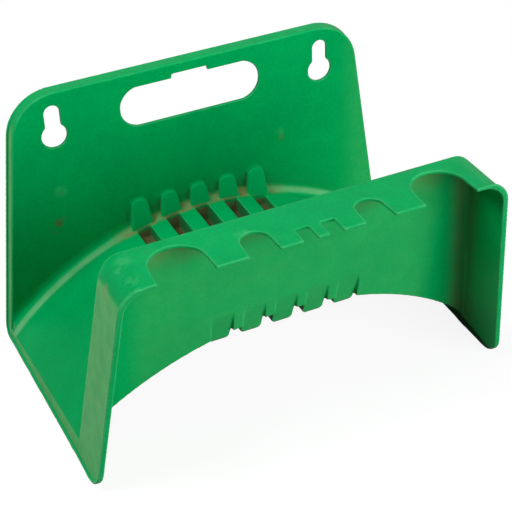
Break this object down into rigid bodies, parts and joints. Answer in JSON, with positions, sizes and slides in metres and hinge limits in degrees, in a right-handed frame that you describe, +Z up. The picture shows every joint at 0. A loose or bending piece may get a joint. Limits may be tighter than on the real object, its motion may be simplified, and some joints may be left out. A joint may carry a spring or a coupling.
{
  "type": "wall mounted hose hanger",
  "caption": "Thin-walled plastic hanger that screws to a wall, with an arched, channelled saddle for a coiled hose and a notched front rail for hose nozzles and fittings.",
  "frame": {"origin": "middle of the top rim's rear face, on the wall", "axes": "+Z up, +Y into the wall, so -Y is towards the user, and +X to the user's right"},
  "size_m": [0.2693, 0.1863, 0.1678],
  "materials": {
    "green_polypropylene": "satin"
  },
  "bodies": {
    "root": {"back_panel": "green_polypropylene", "wall_rim": "green_polypropylene", "hose_saddle": "green_polypropylene", "front_plate": "green_polypropylene", "tool_rail": "green_polypropylene", "left_end_flange": "green_polypropylene", "right_end_flange": "green_polypropylene"}
  },
  "joints": []
}
